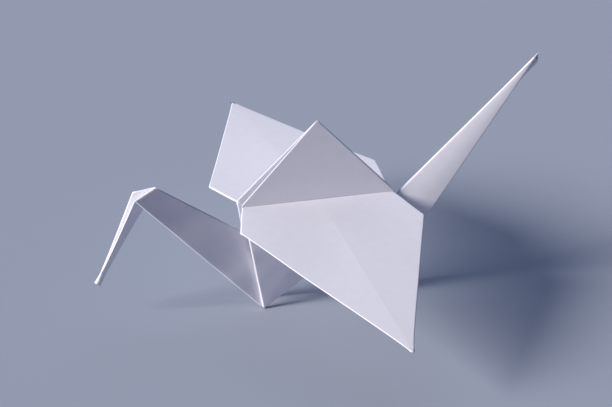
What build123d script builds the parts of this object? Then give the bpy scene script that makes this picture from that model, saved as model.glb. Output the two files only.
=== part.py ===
"""Paper crane folded from one square sheet, standing on the four lower corners of its body.

+X points forward, along the neck, +Y to the crane's left wing and +Z up. The sheet is folded
flat first: side-view points (x, z) are measured on that flat crane from the point where the long
tips of the sheet's legs, now the neck and the tail, met below the body before they were turned
up. Opening it up then gives each facet its own plane.
"""
import os
from math import asin, cos, radians, sin, sqrt, tan

from build123d import *

# Driving dimensions: millimetres, degrees and numbers of layers
sheet_side = 150.0           # the square of paper before folding
paper = 0.1                  # thickness of one layer
body_depth = 24.3            # from the wing folds down to the feet
wing_root_gap = 3.4          # between the body's two leaves at the wing folds
foot_gap = 5.2               # between the left and right feet
neck_lean = 57.2             # of the neck's ridge from upright
tail_lean = 46.5             # of the tail's ridge from upright
neck_turn = 1.8              # of the neck towards the left wing
tail_turn = 2.0              # of the tail towards the left wing
beak_length = 27.4           # from the head's crease to the tip, which is a sheet corner
left_head_crease = 54.7      # from the ridge to the left crease that turns the beak down
right_head_crease = 48.9     # the same on the right, where the fold is a little tighter
head_gap = 4.1               # between the neck's open edges at the head
left_droop = 8.9             # of the left wing below level
right_droop = 0.2            # of the right wing below level
shoulder_out = 11.8          # from a wing's fold to its widest place
slit = 0.3                   # between edges that meet on the centre line
limb_layers = 4              # in each leaf of the neck, tail and beak
inner_layers = 3             # in each leaf of the body, under its flaps
flap_layers = 2              # in each of the body's two outer flaps

# The flat crane, from the creases of a bird base with narrowed legs
narrow = tan(radians(90 / 8))            # slope of the narrowed legs' edges
wide = tan(radians(90 / 4))              # slope of the wings' edges
peak_z = sheet_side / sqrt(2)            # the sheet's centre, at the top of the hump
wing_z = peak_z / (1 + narrow)           # the fold that the wings hinge on
wing_length = sheet_side - wing_z
flap_z = sheet_side / (2 * cos(radians(90 / 4)))    # where the folded-in side corners meet
foot_z = wing_z - body_depth
wing_x = wing_z * narrow                 # half the length of the wing's hinge
foot_x = foot_z * narrow

# Half thicknesses and where each leaf's middle surface lies beside the mid-plane
leaf_half = limb_layers * paper / 2
ridge_y = 0.75 * leaf_half
root_y = wing_root_gap / 2
foot_y = foot_gap / 2


def crease_top(lean):
    """Height where the fold that turns a leg up as neck or tail crosses the centre line."""
    crease = radians((180 + lean) / 2)
    return foot_z * (1 - narrow / tan(crease))


def lift(points, a, b, c):
    """Side-view points placed on the plane through a, b and c."""
    normal = (b - a).cross(c - a)
    return [
        Vector(x, a.Y - (normal.X * (x - a.X) + normal.Z * (z - a.Z)) / normal.Y, z)
        for x, z in points
    ]


def panel(side, corners, low, high):
    """One flat stretch of layers, between two levels counted sideways from the mid-plane."""
    start = corners[0] + Vector(0, side * low, 0)
    first, second = corners[1] - corners[0], corners[2] - corners[0]
    plane = Plane(origin=start, x_dir=first, z_dir=first.cross(second))
    outline = [plane.to_local_coords(corner - corners[0] + start) for corner in corners]
    with BuildSketch(plane) as shape:
        with BuildLine():
            Polyline([(point.X, point.Y) for point in outline], close=True)
        make_face()
    extrude(shape.sketch, amount=high - low, dir=(0, side, 0))


def hip_crossing(start_z, slope):
    """Where a flap's rising edge meets the line from the wing fold's middle to a foot."""
    x = (wing_z - start_z) / (slope + (wing_z - foot_z) / foot_x)
    return x, start_z + slope * x


def body_quarter(side, direction, lean):
    """Gusset, leaf and flaps on one side of the body, at its front or its back."""
    top_z = crease_top(lean)
    peak = Vector(0, 0, peak_z)
    valley = Vector(0, 0, top_z)
    fold_end = Vector(direction * wing_x, side * root_y, wing_z)
    fold_middle = Vector(0, side * root_y, wing_z)
    foot = Vector(direction * foot_x, side * foot_y, foot_z)
    crotch = Vector(0, side * (ridge_y + leaf_half), top_z)

    # Half of the hump's face, and the side gusset tucked in to the mid-plane behind it
    panel(side, [peak, fold_end, fold_middle], -paper / 2, paper / 2)
    panel(side, [peak, fold_end, valley], -paper / 2, paper / 2)
    panel(side, [fold_end, foot, valley], -paper / 2, paper / 2)

    # The leaf, then two flaps folded in over it, each bent along the line down to the foot
    def stretch(points, corners, low, high):
        panel(side, lift([(direction * x, z) for x, z in points], *corners), low, high)

    upper = (fold_middle, fold_end, foot)
    lower = (fold_middle, crotch, foot)
    end, toe = (wing_x, wing_z), (foot_x, foot_z)
    level = inner_layers * paper - paper / 2
    stretch([(0, wing_z), end, toe], upper, -paper / 2, level)
    stretch([(0, wing_z), toe, (0, top_z)], lower, -paper / 2, level)
    inner_top = [(wing_z - flap_z, wing_z), end]
    outer_top = [end]
    for top, slope in ((inner_top, 1), (outer_top, (wing_z - flap_z) / wing_x)):
        bend = hip_crossing(flap_z, slope)
        stretch([bend, *top, toe], upper, level, level + flap_layers * paper)
        edge = [(slit / 2, top_z), (slit / 2, flap_z + slope * slit / 2)]
        stretch([*edge, bend, toe], lower, level, level + flap_layers * paper)
        level += flap_layers * paper


def limb(direction, lean, turn):
    """Directions along a neck's or tail's ridge, and squarely down from it."""
    lean, turn = radians(lean), radians(turn)
    heading = Vector(direction * cos(turn), sin(turn), 0)
    up = Vector(0, 0, 1)
    return heading * sin(lean) + up * cos(lean), heading * cos(lean) - up * sin(lean)


def leaf(side, corners):
    """A three-cornered stretch of a neck, tail or beak leaf, laid about its middle surface."""
    panel(side, corners, -leaf_half, leaf_half)


def tail_leaf(side):
    """The tail's leaf, one long triangle from the body to the tip."""
    ridge = limb(-1, tail_lean, tail_turn)[0]
    top_z = crease_top(tail_lean)
    root = Vector(0, side * ridge_y, top_z)
    foot = Vector(-foot_x, side * (foot_y - leaf_half), foot_z)
    tip = root + ridge * top_z
    leaf(side, [root, foot, tip])


def head_corner(side, crease):
    """Direction and length of one leaf's head crease, from the ridge to the open edge."""
    ridge, below = limb(1, neck_lean, neck_turn)
    crease = radians(crease)
    length = beak_length * narrow / (sin(crease) + narrow * cos(crease))
    opening = asin(head_gap / 2 / (length * sin(crease)))
    spread = below * cos(opening) + Vector(0, side * sin(opening), 0)
    return ridge * cos(crease) + spread * sin(crease), length


def neck_leaf(side):
    """The neck's leaf up to the head crease, and the beak's leaf turned down from it."""
    ridge = limb(1, neck_lean, neck_turn)[0]
    top_z = crease_top(neck_lean)
    left, left_length = head_corner(1, left_head_crease)
    right, right_length = head_corner(-1, right_head_crease)
    reach, length = (left, left_length) if side > 0 else (right, right_length)
    turned = left.cross(right).normalized()
    pointing = ridge - turned * 2 * ridge.dot(turned)
    root = Vector(0, side * ridge_y, top_z)
    foot = Vector(foot_x, side * (foot_y - leaf_half), foot_z)
    ridge_corner = root + ridge * (top_z - beak_length)
    open_corner = ridge_corner + reach * length - Vector(0, side * (ridge_y + leaf_half), 0)
    beak_tip = ridge_corner + pointing * beak_length
    leaf(side, [root, foot, open_corner])
    leaf(side, [root, open_corner, ridge_corner])
    leaf(side, [ridge_corner, open_corner, beak_tip])


def wing(side, droop):
    """A wing of two layers, the lower one open down its middle, with folded-in shoulders."""
    droop = radians(droop)
    hinge = Plane(
        origin=(0, side * root_y, wing_z),
        x_dir=(side, 0, 0),
        z_dir=(0, side * sin(droop), cos(droop)),
    )
    corner, tip = (wing_x, 0), (0, wing_length)
    shoulder = ((wing_length - shoulder_out) * wide, shoulder_out)
    slit_end = (slit / 2, wing_length - slit / 2 / wide)
    lapped = [(0, -paper / 2), (wing_x, -paper / 2)]
    layers = (
        ([*lapped, corner, shoulder, tip], 0, 1),
        ([(slit / 2, 0), corner, shoulder, slit_end], 1, 2),
        ([(wing_z - flap_z, 0), corner, shoulder], 2, 2 + flap_layers),
    )
    for points, above, under in layers:
        with BuildSketch(hinge.offset(-above * paper)) as shape:
            with BuildLine():
                Polyline(points, close=True)
            make_face()
            mirror(about=Plane.YZ)
        extrude(shape.sketch, amount=(above - under) * paper)


with BuildPart() as folding:
    for side in (1, -1):
        for direction, lean in ((1, neck_lean), (-1, tail_lean)):
            body_quarter(side, direction, lean)
        neck_leaf(side)
        tail_leaf(side)
    wing(1, left_droop)
    wing(-1, right_droop)

# Stand the crane on its feet with the origin below the middle of its outline
outline = folding.part.bounding_box()
stand = (-outline.center().X, -outline.center().Y, -outline.min.Z)
with BuildPart() as folded_sheet:
    with Locations(stand):
        add(folding.part)

folded_sheet.part.label = "folded_sheet"
os.makedirs("parts", exist_ok=True)
export_step(folded_sheet.part, "parts/folded_sheet.step")
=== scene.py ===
from math import asin, cos, exp, pi, radians, sin, sqrt, tan

import bmesh
import bpy
from mathutils import Matrix, Vector, noise


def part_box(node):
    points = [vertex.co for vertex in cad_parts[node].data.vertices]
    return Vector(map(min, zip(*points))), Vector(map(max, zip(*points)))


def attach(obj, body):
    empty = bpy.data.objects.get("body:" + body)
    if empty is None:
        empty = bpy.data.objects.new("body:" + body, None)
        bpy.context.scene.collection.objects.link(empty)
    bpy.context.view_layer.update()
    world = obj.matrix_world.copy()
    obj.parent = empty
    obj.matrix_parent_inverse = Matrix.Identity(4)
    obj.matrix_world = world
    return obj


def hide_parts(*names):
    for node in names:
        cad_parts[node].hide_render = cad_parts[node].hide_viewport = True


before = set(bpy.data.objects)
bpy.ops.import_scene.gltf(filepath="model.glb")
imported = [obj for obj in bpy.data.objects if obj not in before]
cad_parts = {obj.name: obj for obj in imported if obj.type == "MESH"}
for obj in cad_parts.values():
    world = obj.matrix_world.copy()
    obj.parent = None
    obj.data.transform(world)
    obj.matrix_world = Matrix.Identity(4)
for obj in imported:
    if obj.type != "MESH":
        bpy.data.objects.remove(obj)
bpy.context.view_layer.update()

# ---- The sheet, laid open -------------------------------------------------------------------
# The crane is one 150 mm square of smooth white office paper, folded by hand and never cut.
# Its creases are those of a bird base with narrowed legs, then a reverse fold each for the
# neck, the tail and the beak. Each quarter of it makes the front or back half of one side.

LEFT, RIGHT = 1, -1
FRONT, BACK = 1, -1
SHEET_SIDE = 0.150
BODY_DEPTH = 0.0243           # from the wings' folds down to the feet
BEAK_LENGTH = 0.0274          # from the head's crease to the sheet's corner
HEAD_GAP = 0.0041             # between the neck's open edges at the head
HEAD_CREASE = {LEFT: radians(54.7), RIGHT: radians(48.9)}        # from the neck's ridge
LEAN = {FRONT: radians(57.2), BACK: radians(46.5)}               # of neck and tail from upright
TURN = {FRONT: radians(1.8), BACK: radians(2.0)}                 # of both to the left
SHOULDER_OUT = {              # from a wing's fold out to its widest place
    (LEFT, FRONT): 0.0106,
    (LEFT, BACK): 0.0110,
    (RIGHT, FRONT): 0.0118,
    (RIGHT, BACK): 0.0142,
}
FOLD_ROUND = 0.00013          # width of the rounding on each side of a crease
FOLD_STEPS = 2
GRID = 0.0015                 # spacing of the fine edges between the creases
MERGE = 1e-7

# The flat crane is measured up from where the legs' long tips meet, across from its middle
narrow = tan(radians(90 / 8))                  # slope of the narrowed legs' edges
wide = tan(radians(90 / 4))                    # slope of the wings' edges
corner_out = SHEET_SIDE / sqrt(2)              # from the sheet's centre to a corner
inset_out = corner_out - SHEET_SIDE / 2        # from the centre lines to the folded-in corners
peak_z = corner_out                            # the top of the hump
wing_z = peak_z / (1 + narrow)                 # the fold that the wings hinge on
flap_z = SHEET_SIDE / (2 * cos(radians(90 / 4)))
foot_z = wing_z - BODY_DEPTH
wing_x = wing_z * narrow
foot_x = foot_z * narrow
wing_length = SHEET_SIDE - wing_z


def crease_top(end):
    """Where the reverse fold at the front or back crosses the centre line."""
    return foot_z * (1 - narrow / tan((pi + LEAN[end]) / 2))


def limb_axes(end):
    """Directions up the ridge of the neck or tail, and squarely down from it."""
    heading = Vector((end * cos(TURN[end]), sin(TURN[end]), 0))
    up = Vector((0, 0, 1))
    lean = LEAN[end]
    return heading * sin(lean) + up * cos(lean), heading * cos(lean) - up * sin(lean)


def head_crease(side):
    """Length, and direction in space, of one leaf's head crease from the ridge."""
    ridge, below = limb_axes(FRONT)
    angle = HEAD_CREASE[side]
    length = BEAK_LENGTH * narrow / (sin(angle) + narrow * cos(angle))
    opening = asin(HEAD_GAP / 2 / (length * sin(angle)))
    spread = below * cos(opening) + Vector((0, side * sin(opening), 0))
    return length, ridge * cos(angle) + spread * sin(angle)


def flat_head_corner(side):
    """Where the head crease meets the leg's edge on the flat crane."""
    length = head_crease(side)[0]
    angle = HEAD_CREASE[side]
    return Vector((length * sin(angle), BEAK_LENGTH - length * cos(angle)))


def toward(start, goal, distance):
    return start + (goal - start).normalized() * distance


def quarter_points(side, end):
    """Each crease corner of one quarter of the sheet: where it is on the open sheet,
    counted towards the leg's and the wing's corners, and where it lands when folded flat."""
    centre = Vector((0, 0))
    wing_tip = Vector((0, corner_out))
    leg_tip = Vector((corner_out, 0))
    middle = Vector((corner_out / 2, corner_out / 2))
    inner = Vector((inset_out, inset_out))
    flat_end = Vector((wing_x, wing_z))
    flat_tip = Vector((0, SHEET_SIDE))
    flat_inner = Vector((0, flap_z))
    flat_hinge = Vector((0, SHEET_SIDE / 2))
    flat_waist = flat_hinge + Vector((SHEET_SIDE / 2 * narrow, 0))
    shoulder_z = wing_z + SHOULDER_OUT[side, end]
    shoulder = Vector(((SHEET_SIDE - shoulder_z) * wide, shoulder_z))
    crossing_z = SHEET_SIDE * wide / (narrow + wide)
    crossing = Vector((crossing_z * narrow, crossing_z))
    root_end = Vector((peak_z - wing_z, peak_z - wing_z))
    waist_top = Vector((flat_waist.x, inset_out))
    waist_under = toward(middle, inner, flat_waist.x)
    full_shoulder = toward(wing_tip, inner, (flat_tip - crossing).length)
    waist_to_end = (flat_end - flat_waist).length
    flap_run = wing_z - flap_z
    points = {
        "peak": (centre, Vector((0, peak_z))),
        "hump_foot": (Vector((0, peak_z - wing_z)), Vector((0, wing_z))),
        "hinge": (Vector((0, inset_out)), flat_hinge),
        "root": (Vector((0, inset_out + wing_z - SHEET_SIDE / 2)), Vector((0, wing_z))),
        "wing_tip": (wing_tip, flat_tip),
        "end": (root_end, flat_end),
        "waist_top": (waist_top, flat_waist),
        "end_top": (toward(waist_top, full_shoulder, waist_to_end), flat_end),
        "shoulder": (toward(wing_tip, inner, (flat_tip - shoulder).length), shoulder),
        "inner": (inner, flat_inner),
        "flap_top": (toward(inner, wing_tip, flap_run * sqrt(2)), Vector((flap_run, wing_z))),
        "middle": (middle, flat_hinge),
        "waist_under": (waist_under, flat_waist),
        "end_under": (toward(waist_under, full_shoulder, waist_to_end), flat_end),
        "root_under": (toward(middle, wing_tip, wing_z - SHEET_SIDE / 2), Vector((0, wing_z))),
        "leg_tip": (leg_tip, Vector((0, 0))),
    }
    creases = {"": (Vector((0, crease_top(end))), Vector((foot_x, foot_z)))}
    if end == FRONT:
        creases["head_"] = (Vector((0, BEAK_LENGTH)), flat_head_corner(side))
    for name, (high, low) in creases.items():
        for spoke, goal in (("a", centre), ("i", inner), ("m", middle)):
            points[name + "ridge_" + spoke] = (toward(leg_tip, goal, high.y), high)
        for spoke, goal in (("g", root_end), ("w", waist_under)):
            points[name + "edge_" + spoke] = (toward(leg_tip, goal, low.length), low)
    return points


# Each stretch between creases: what it belongs to, its layer counted outwards from the gap
# between the body's leaves, and its corners
BODY_STRETCHES = (
    ("gusset", 0, "peak end ridge_a"),
    ("gusset", 0, "end edge_g ridge_a"),
    ("hump", 1, "peak hump_foot end"),
    ("leaf", 1, "hump_foot hinge waist_top end"),
    ("leaf", 2, "hinge waist_top end_top root"),
    ("wing", 2, "root end_top shoulder wing_tip"),
    ("leaf", 3, "middle waist_under end_under root_under"),
    ("wing", 3, "root_under end_under shoulder wing_tip"),
    ("leaf", 3, "middle waist_under edge_w ridge_m"),
    ("leaf", 4, "inner waist_under edge_w ridge_i"),
    ("leaf", 4, "inner waist_under end_under flap_top"),
    ("wing", 4, "flap_top end_under shoulder"),
    ("leaf", 5, "inner waist_top end_top flap_top"),
    ("wing", 5, "flap_top end_top shoulder"),
    ("leaf", 6, "inner end waist_top"),
    ("leaf", 7, "inner end edge_g ridge_i"),
)
LEG_CREASES = {0: ("a", "g"), 3: ("m", "w"), 4: ("i", "w"), 7: ("i", "g")}
LEG_LAYERS = tuple(LEG_CREASES)          # the four layers of each leg's leaf, from the inside


def stretches(end):
    found = list(BODY_STRETCHES)
    for layer, (spoke, edge) in LEG_CREASES.items():
        ridge, low = f"ridge_{spoke}", f"edge_{edge}"
        if end == FRONT:
            found.append(("neck", layer, f"{ridge} {low} head_{low} head_{ridge}"))
            found.append(("beak", layer, f"head_{ridge} head_{low} leg_tip"))
        else:
            found.append(("tail", layer, f"{ridge} {low} leg_tip"))
    return found


facets = []
sheet_mesh = bpy.data.meshes.new("folded_paper")
work = bmesh.new()
facet_tag = work.faces.layers.int.new("facet")
for side in (LEFT, RIGHT):
    for end in (FRONT, BACK):
        points = quarter_points(side, end)
        for region, layer, names in stretches(end):
            corners = [points[name] for name in names.split()]
            open_corners = [Vector((end * p.x, side * p.y, 0)) for p, _ in corners]
            face = work.faces.new([work.verts.new(p) for p in open_corners])
            face.normal_update()
            if face.normal.z < 0:
                face.normal_flip()
            face[facet_tag] = len(facets)
            facets.append((side, end, region, layer, corners))
bmesh.ops.remove_doubles(work, verts=work.verts, dist=MERGE)
between_creases = work.faces[:]
for _ in range(FOLD_STEPS):
    bmesh.ops.inset_individual(
        work, faces=between_creases, thickness=FOLD_ROUND, use_even_offset=True
    )
lines_each_way = int(corner_out / GRID)
for axis in (Vector((1, 0, 0)), Vector((0, 1, 0))):
    for step in range(-lines_each_way, lines_each_way + 1):
        bmesh.ops.bisect_plane(
            work,
            geom=work.verts[:] + work.edges[:] + work.faces[:],
            dist=MERGE,
            plane_co=axis * (step + 0.5) * GRID,
            plane_no=axis,
        )

# ---- The body -------------------------------------------------------------------------------
# Two leaves of up to seven layers hang from the wings' folds and stand on four sharp feet.
# A pleat at each end joins them, and the sheet's middle rises between the wings as the hump.
# Nothing fixes the layers: they are only pressed flat, so they spring slightly apart.

PAPER = 0.00008               # thickness of one pressed layer
LAYER_PITCH = 0.00012
WING_ROOT_GAP = 0.0034        # between the body's leaves at the wings' folds
FOOT_GAP = 0.0052             # between the left and right feet
PINCH = 0.0001                # how far a foot's inner layers are pressed in
ROOT_Y = WING_ROOT_GAP / 2 - LAYER_PITCH
FOOT_Y = FOOT_GAP / 2 - PINCH
CROTCH_Y = 0.00018            # half the gap where the leaves close at the reverse folds
ROUNDED = 0.002               # how far from a wing's fold its layers slide on each other
SLIT = 0.00030                # between raw edges that meet on the centre line
NEST_STEP = 0.00006           # a folded edge lies this much inside the one wrapped round it
NARROWEST = 0.3               # share of a thin tip's half width that nesting may take
LEAST_WIDTH = 1e-9            # so that a sharp tip has some width to share out
DENT = 0.00016                # of the leaves, in shallow dents from the fingers
DENT_LENGTH = 0.005
DENT_FADE = 0.004             # how near a fold the dents die out
SIDES_APART = 0.02            # between the two leaves' places in the pattern of dents
NOISE_SLICE = 0.3
NOISE_TO_ONE = 1.6            # brings the noise's usual reach out to about -1 and 1


def half_width(side, end, z):
    """Half the flat crane's width at one height."""
    if z <= wing_z:
        return z * narrow
    out = SHOULDER_OUT[side, end]
    if z <= wing_z + out:
        return wing_x + (z - wing_z) * ((wing_length - out) * wide - wing_x) / out
    return (SHEET_SIDE - z) * wide


def nested(side, end, layer, x, z):
    """Keeps a folded edge inside the ones wrapped round it, and edges off the centre line."""
    width = max(half_width(side, end, z), LEAST_WIDTH)
    share = min(x / width, 1)
    inset = min(min(layer, 7 - layer) * NEST_STEP, NARROWEST * width)
    gap = min(SLIT / 2, NARROWEST * width) if layer > 2 else 0
    return x - inset * share + gap * (1 - share)


def waves(x, z, length):
    """A smooth wander between about -1 and 1, for paper that is never quite flat."""
    return NOISE_TO_ONE * noise.noise(Vector((x, z, NOISE_SLICE)) / length)


def pleat_gap(x, z, end):
    """Half the gap inside the pleat that joins the two leaves at the front or the back."""
    top = crease_top(end)
    if x * (wing_z - top) <= wing_x * (z - top):
        return ROOT_Y * x / wing_x
    end_rise = wing_z - top
    foot_rise = foot_z - top
    twist = wing_x * foot_rise - foot_x * end_rise
    along_x = (ROOT_Y * foot_rise - FOOT_Y * end_rise) * x
    return (along_x + (wing_x * FOOT_Y - foot_x * ROOT_Y) * (z - top)) / twist


def leaf_gap(x, z, end):
    """Half the gap inside the body's leaves: straight lines run from the wing's fold down to
    the reverse fold, where the leaves close up in the middle and spread at the foot."""
    top = crease_top(end)
    share = min(x / (z * narrow), 1)
    low = share * narrow * top / (foot_x + share * narrow * (top - foot_z))
    down = min((wing_z - z) / (wing_z - top - (foot_z - top) * low), 1)
    return ROOT_Y + (CROTCH_Y + (FOOT_Y - CROTCH_Y) * low - ROOT_Y) * down


def on_hump(side, end, x, z):
    out = WING_ROOT_GAP / 2 * (peak_z - z) / (peak_z - wing_z)
    return Vector((end * x, side * out, z))


def on_pleat(side, end, x, z):
    return Vector((end * x, side * pleat_gap(x, z, end), z))


def on_leaf(side, end, layer, x, z):
    level = layer * LAYER_PITCH
    rounding = level * max(0, 1 - (wing_z - z) / ROUNDED) if layer > 1 else 0
    dent = DENT * waves(end * x + z, side * SIDES_APART + z - end * x, DENT_LENGTH)
    dent *= min(1, (wing_z - z) / DENT_FADE) * min(1, (z - foot_z) / DENT_FADE)
    return Vector((end * x, side * (leaf_gap(x, z, end) + level + dent), z - rounding))


# ---- The wings ------------------------------------------------------------------------------
# Two pointed wings of two layers each, the same sheet drawn out sideways from the body.
# The raw edges meet along the underside, the shoulders are folded in, and the bird base's
# middle crease still lifts each one a little along its centre.

DROOP = {LEFT: radians(8.9), RIGHT: radians(0.2)}      # below level
CROWN = {LEFT: 0.00032, RIGHT: 0.00015}                # lift along the centre crease
CROWN_RISE = 0.2              # share of the wing over which the lift comes in from its fold
CROWN_FALL = 0.625            # and over which it dies out again towards the tip
TWIST = {LEFT: 0.0, RIGHT: -0.033}                     # slope across the wing
WAVE = 0.00022
WAVE_LENGTH = 0.022
WORN_TIP = 0.0005             # half the width of a wing's rubbed tip
WORN_TIP_FADE = 0.003


def on_wing(side, end, layer, x, z):
    out = z - wing_z
    along = out / wing_length
    share = min(x / half_width(side, end, z), 1)
    x += WORN_TIP * share * exp((out - wing_length) / WORN_TIP_FADE)
    lift = CROWN[side] * (1 - share) + WAVE * waves(end * x, side * z, WAVE_LENGTH)
    lift += TWIST[side] * end * x
    lift *= min(1, along / CROWN_RISE) * min(1, (1 - along) / CROWN_FALL)
    level = layer * LAYER_PITCH - lift
    out += layer * LAYER_PITCH * max(0, 1 - out / ROUNDED)
    outward = Vector((0, side * cos(DROOP[side]), -sin(DROOP[side])))
    under = Vector((0, -side * sin(DROOP[side]), -cos(DROOP[side])))
    return Vector((end * x, side * WING_ROOT_GAP / 2, wing_z)) + outward * out + under * level


# ---- The neck, beak and tail ----------------------------------------------------------------
# The legs' long tips, turned up between the body's leaves by reverse folds. Each is two leaves
# of four layers joined along the top ridge, and the beak is the neck's end turned down again.
# The tips are rubbed blunt by handling, and the tail's right leaf has slipped down a little.

RIDGE_Y = 0.00024             # half the gap under the ridge
HEAD_PINCH = 0.0002           # how far the neck's open edges are pressed in at the head
HEAD_REACH = {LEFT: 1.0, RIGHT: 0.83}                  # share of each head crease that opens
BLUNT = {                     # how wide each leaf's rubbed tip is
    (LEFT, FRONT): 0.0020,
    (RIGHT, FRONT): 0.0008,
    (LEFT, BACK): 0.0008,
    (RIGHT, BACK): 0.0012,
}
BLUNT_FADE = 0.0055
WORN_OFF = 0.0006             # of the beak's length
TAIL_BOW = 0.0004             # of the tail's open edges, halfway up
TAIL_BELLY = 0.0003           # of its leaves across their width, towards the body
TAIL_SLIP = 0.0005            # of its right leaf, growing towards the tip
TIP_SLIP = 0.0009             # and more at the tip itself
NECK_DENT = 0.00018
NECK_DENT_LENGTH = 0.0065
NECK_DENT_ROOM = (0.044, 0.004)      # length and width of the neck in its pattern of dents
NECK_DENT_FADE = 1 / 6        # share of the neck over which the dents die out at each end
AT_TIP = 1e-6                 # closer to the leg's tip than this counts as the tip itself


def ray_share(high, low, spot):
    """How far along a crease, from its end on the ridge, the line from the leg's tip crosses."""
    across = high.x * spot.y - high.y * spot.x
    return across / (across - (low.x * spot.y - low.y * spot.x))


head_planes = [head_crease(side)[1] for side in (LEFT, RIGHT)]
head_normal = head_planes[0].cross(head_planes[1]).normalized()
neck_ridge = limb_axes(FRONT)[0]
beak_line = neck_ridge - head_normal * 2 * neck_ridge.dot(head_normal)
beak_across = beak_line.cross(Vector((0, 1, 0))).normalized()


def limb_root(side, end, spot):
    """Where a point's line from the leg's tip starts on the body, and how long it is flat."""
    root = Vector((0, side * RIDGE_Y, crease_top(end)))
    foot = Vector((end * foot_x, side * (FOOT_Y - PINCH), foot_z))
    high = Vector((0, crease_top(end)))
    low = Vector((foot_x, foot_z))
    share = ray_share(high, low, spot)
    return root, share, root.lerp(foot, share), high.lerp(low, share).length


def on_tail(side, spot, stack, spread):
    ridge, below = limb_axes(BACK)
    root, share, on_body, body_reach = limb_root(side, BACK, spot)
    run = spot.length / body_reach
    if side == RIGHT:
        spread += TAIL_SLIP * (1 - run) + TIP_SLIP * exp(-spot.y / BLUNT_FADE)
    edge = below * spread
    edge.y += side * TAIL_BOW * share * 4 * run * (1 - run)
    edge.y += side * TAIL_BELLY * sin(pi * share) * sqrt(run)
    return (root + ridge * crease_top(BACK)).lerp(on_body, run) + stack + edge


def on_neck(side, region, spot, stack, spread):
    """The neck up to the head creases, and the beak turned down from them."""
    root, share, on_body, body_reach = limb_root(side, FRONT, spot)
    length, reach = head_crease(side)
    crown = root + neck_ridge * (crease_top(FRONT) - BEAK_LENGTH)
    pressed_in = Vector((0, side * (RIDGE_Y + HEAD_PINCH), 0))
    corner = crown + reach * length * HEAD_REACH[side] - pressed_in
    high = Vector((0, BEAK_LENGTH))
    low = flat_head_corner(side)
    share = ray_share(high, low, spot)
    on_head = crown.lerp(corner, share)
    head_reach = high.lerp(low, share).length
    if region == "neck":
        run = (spot.length - head_reach) / (body_reach - head_reach)
        up_neck, across_neck = NECK_DENT_ROOM
        dent = waves(run * up_neck, share * across_neck + side * SIDES_APART, NECK_DENT_LENGTH)
        dent *= min(1, run / NECK_DENT_FADE) * min(1, (1 - run) / NECK_DENT_FADE)
        stack.y += side * NECK_DENT * dent
        return on_head.lerp(on_body, run) + stack
    beak_tip = crown + beak_line * (BEAK_LENGTH - WORN_OFF)
    return beak_tip.lerp(on_head, spot.length / head_reach) - stack + beak_across * spread


def on_limb(side, end, region, layer, x, z):
    """Straight lines fan out to each crease from the leg's tip."""
    order = LEG_LAYERS.index(layer)
    spot = Vector((x, z)) if z > AT_TIP else Vector((0, AT_TIP))
    share = min(x / max(z * narrow, AT_TIP), 1)
    spread = BLUNT[side, end] * exp(-z / BLUNT_FADE) * (share - 0.5)
    stack = Vector((0, side * (1.5 - order) * LAYER_PITCH, 0))
    if region == "tail":
        return on_tail(side, spot, stack, spread)
    return on_neck(side, region, spot, stack, spread)


# ---- The folding ----------------------------------------------------------------------------
# Every point of the open sheet goes to its place on the flat crane, then out into space. Where
# stretches meet in a crease it goes midway between them. The paper then gets its thickness.

VALLEY_STEP = 0.00005         # between layers stacked in the valley of a reverse fold


def flat_map(corners):
    """The fold of one stretch, as the matrix that lays its open sheet on the flat crane."""
    (a, flat_a), (b, flat_b), (c, flat_c) = corners[:3]
    open_axes = Matrix(((b.x - a.x, c.x - a.x), (b.y - a.y, c.y - a.y)))
    flat_axes = Matrix(
        ((flat_b.x - flat_a.x, flat_c.x - flat_a.x), (flat_b.y - flat_a.y, flat_c.y - flat_a.y))
    )
    return a, flat_a, flat_axes @ open_axes.inverted()


def place(facet, x, z):
    """Where a point of the flat crane goes when the crane is opened up."""
    side, end, region, layer, _ = facet
    if region == "hump":
        return on_hump(side, end, x, z)
    if region == "gusset":
        return on_pleat(side, end, x, z)
    x = nested(side, end, layer, x, z)
    if region == "leaf":
        return on_leaf(side, end, layer, x, z)
    if region == "wing":
        return on_wing(side, end, layer, x, z)
    return on_limb(side, end, region, layer, x, z)


def folded(vert):
    """The place in space of one point of the sheet, and whether it is on a crease or edge."""
    met = [facets[number] for number in {face[facet_tag] for face in vert.link_faces}]
    total = Vector((0, 0, 0))
    for facet in met:
        side, end, _, _, corners = facet
        start, landed, fold = flat_map(corners)
        spot = landed + fold @ (Vector((end * vert.co.x, side * vert.co.y)) - start)
        total += place(facet, max(spot.x, 0), spot.y)
    spot = total / len(met)
    regions = {facet[2] for facet in met}
    if regions & {"leaf", "gusset"} and regions & {"neck", "tail"}:
        leg_layers = [facet[3] for facet in met if facet[2] in ("neck", "beak", "tail")]
        order = min(LEG_LAYERS.index(layer) for layer in leg_layers)
        spot.z += VALLEY_STEP * (3 - order)
    return spot, len(met) > 1 or vert.is_boundary


# The crane stands on its feet, with its beak and left wing tip reaching the frame's box
cad_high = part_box("folded_sheet")[1]
beak_tip = neck_ridge * (crease_top(FRONT) - BEAK_LENGTH) + beak_line * BEAK_LENGTH
left_tip_y = WING_ROOT_GAP / 2 + wing_length * cos(DROOP[LEFT])
stand = Vector((cad_high.x - beak_tip.x, cad_high.y - left_tip_y, PAPER / 2 - foot_z))

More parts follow.
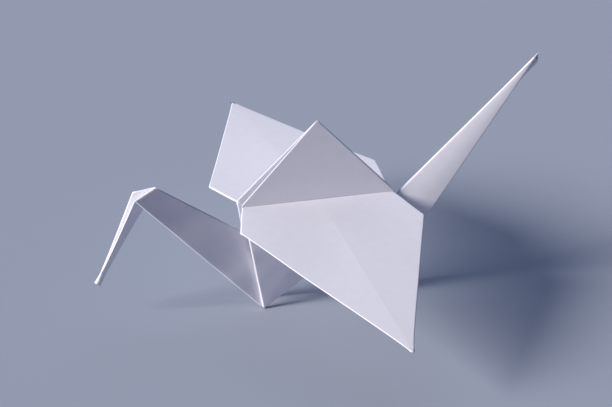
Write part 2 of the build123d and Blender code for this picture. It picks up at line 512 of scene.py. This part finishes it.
fold_mark = work.verts.layers.float.new("fold_mark")
uv_layer = work.loops.layers.uv.new("sheet")
for face in work.faces:
    face.smooth = True
    for loop in face.loops:
        spot = loop.vert.co / SHEET_SIDE
        loop[uv_layer].uv = (spot.x + 0.5, spot.y + 0.5)
places = [folded(vert) for vert in work.verts]
for vert, (spot, on_fold) in zip(work.verts, places):
    vert.co = spot + stand
    vert[fold_mark] = float(on_fold)
bmesh.ops.triangulate(work, faces=work.faces[:])
work.to_mesh(sheet_mesh)
work.free()
crane = bpy.data.objects.new("paper_crane", sheet_mesh)
bpy.context.collection.objects.link(crane)
bpy.ops.object.select_all(action="DESELECT")
crane.select_set(True)
bpy.context.view_layer.objects.active = crane
thickness = crane.modifiers.new("thickness", "SOLIDIFY")
thickness.thickness = PAPER
thickness.offset = 0
bpy.ops.object.modifier_apply(modifier=thickness.name)
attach(crane, "root")
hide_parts("folded_sheet")

# ---- The paper ------------------------------------------------------------------------------
# Smooth white office paper with a cool brightener in it: matt, faintly cloudy where its fibres
# gather, and with a painted highlight, a little paler, along every fold and cut edge.

THIN_CLOUD = (0.875, 0.87, 0.93, 1)
THICK_CLOUD = (0.90, 0.895, 0.95, 1)
# Painted highlight: the white that folds and cut edges are mixed towards, as if they caught the light
PAINTED_HIGHLIGHT_WHITE = (0.99, 0.99, 1.0, 1)
PAINTED_HIGHLIGHT_SHARE = 0.18             # of the painted highlight white along a fold or cut edge
CLOUDS_ACROSS = 60
FIBRES_ACROSS = 500
FIBRE_STRENGTH = 0.08
FIBRE_DEPTH = 0.0001

paper = bpy.data.materials.new("white_paper")
paper.use_nodes = True
nodes = paper.node_tree.nodes
links = paper.node_tree.links
shader = nodes["Principled BSDF"]
shader.inputs["Roughness"].default_value = 0.75
shader.inputs["Specular IOR Level"].default_value = 0.35

sheet_place = nodes.new("ShaderNodeUVMap")
sheet_place.uv_map = "sheet"
cloud = nodes.new("ShaderNodeTexNoise")
cloud.inputs["Scale"].default_value = CLOUDS_ACROSS
cloud.inputs["Detail"].default_value = 4
links.new(sheet_place.outputs["UV"], cloud.inputs["Vector"])
tone = nodes.new("ShaderNodeValToRGB")
tone.color_ramp.elements[0].position = 0.3
tone.color_ramp.elements[0].color = THIN_CLOUD
tone.color_ramp.elements[1].position = 0.7
tone.color_ramp.elements[1].color = THICK_CLOUD
links.new(cloud.outputs["Fac"], tone.inputs["Fac"])
# Painted highlight: every fold and cut edge is mixed part of the way to white
fold_line = nodes.new("ShaderNodeAttribute")
fold_line.attribute_name = "fold_mark"
line_mask = nodes.new("ShaderNodeMath")
line_mask.operation = "MULTIPLY"
line_mask.inputs[1].default_value = PAINTED_HIGHLIGHT_SHARE
links.new(fold_line.outputs["Fac"], line_mask.inputs[0])
highlight_mix = nodes.new("ShaderNodeMix")
highlight_mix.data_type = "RGBA"
highlight_mix.inputs["B"].default_value = PAINTED_HIGHLIGHT_WHITE
links.new(line_mask.outputs[0], highlight_mix.inputs["Factor"])
links.new(tone.outputs["Color"], highlight_mix.inputs["A"])
links.new(highlight_mix.outputs["Result"], shader.inputs["Base Color"])
fibre = nodes.new("ShaderNodeTexNoise")
fibre.inputs["Scale"].default_value = FIBRES_ACROSS
fibre.inputs["Detail"].default_value = 3
links.new(sheet_place.outputs["UV"], fibre.inputs["Vector"])
bump = nodes.new("ShaderNodeBump")
bump.inputs["Strength"].default_value = FIBRE_STRENGTH
bump.inputs["Distance"].default_value = FIBRE_DEPTH
links.new(fibre.outputs["Fac"], bump.inputs["Height"])
links.new(bump.outputs["Normal"], shader.inputs["Normal"])
crane.data.materials.append(paper)

# ---- The table and the light ----------------------------------------------------------------
# A wide, pale matt table top under a dim cool sky. A soft window low at the crane's front is
# the main light, and a broader, bluer one on its right fills the far side.

TABLE_SIZE = 60
PALE_BLUE_GREY = (0.40, 0.44, 0.52, 1)
SKY_BLUE = (0.38, 0.42, 1.0, 1)
SKY_STRENGTH = 0.13

bpy.ops.mesh.primitive_plane_add(size=TABLE_SIZE)
table = bpy.context.object
table.name = "table_top"
finish = bpy.data.materials.new("pale_table")
finish.use_nodes = True
table_shader = finish.node_tree.nodes["Principled BSDF"]
table_shader.inputs["Base Color"].default_value = PALE_BLUE_GREY
table_shader.inputs["Roughness"].default_value = 0.9
table_shader.inputs["Specular IOR Level"].default_value = 0.2
table.data.materials.append(finish)

bpy.context.scene.view_settings.view_transform = "Standard"
sky = bpy.data.worlds.new("sky")
bpy.context.scene.world = sky
sky.use_nodes = True
sky_light = sky.node_tree.nodes["Background"]
sky_light.inputs["Color"].default_value = SKY_BLUE
sky_light.inputs["Strength"].default_value = SKY_STRENGTH


def soft_sun(name, direction, softness, strength, colour):
    """A broad light from one direction, its softness in degrees of sky."""
    lamp = bpy.data.lights.new(name, "SUN")
    lamp.angle = radians(softness)
    lamp.energy = strength
    lamp.color = colour
    holder = bpy.data.objects.new(name, lamp)
    holder.rotation_mode = "QUATERNION"
    holder.rotation_quaternion = Vector(direction).to_track_quat("Z", "Y")
    bpy.context.collection.objects.link(holder)


soft_sun("window", (0.92, 0.095, 0.42), 20, 4.35, (1.0, 0.955, 0.93))
soft_sun("sky_window", (-0.1, -0.75, 0.65), 60, 0.72, (0.62, 0.8, 1.0))

# ---- The camera -----------------------------------------------------------------------------
# A long lens on the crane's left, a little ahead of its wing and looking down on it.

AIM = Vector((0.00323, 0.00082, 0.02284))
HEADING = radians(18.604)     # from straight left of the crane round towards its front
ELEVATION = radians(22.163)
ROLL = radians(0.968)
DISTANCE = 0.6009

lens = bpy.data.cameras.new("view")
lens.sensor_width = 36
lens.lens = 161.2
camera = bpy.data.objects.new("view", lens)
bpy.context.collection.objects.link(camera)
away = Vector((sin(HEADING) * cos(ELEVATION), cos(HEADING) * cos(ELEVATION), sin(ELEVATION)))
turned = away.to_track_quat("Z", "Y").to_matrix().to_4x4()
camera.matrix_world = Matrix.Translation(AIM + away * DISTANCE) @ turned @ Matrix.Rotation(ROLL, 4, "Z")
bpy.context.scene.camera = camera
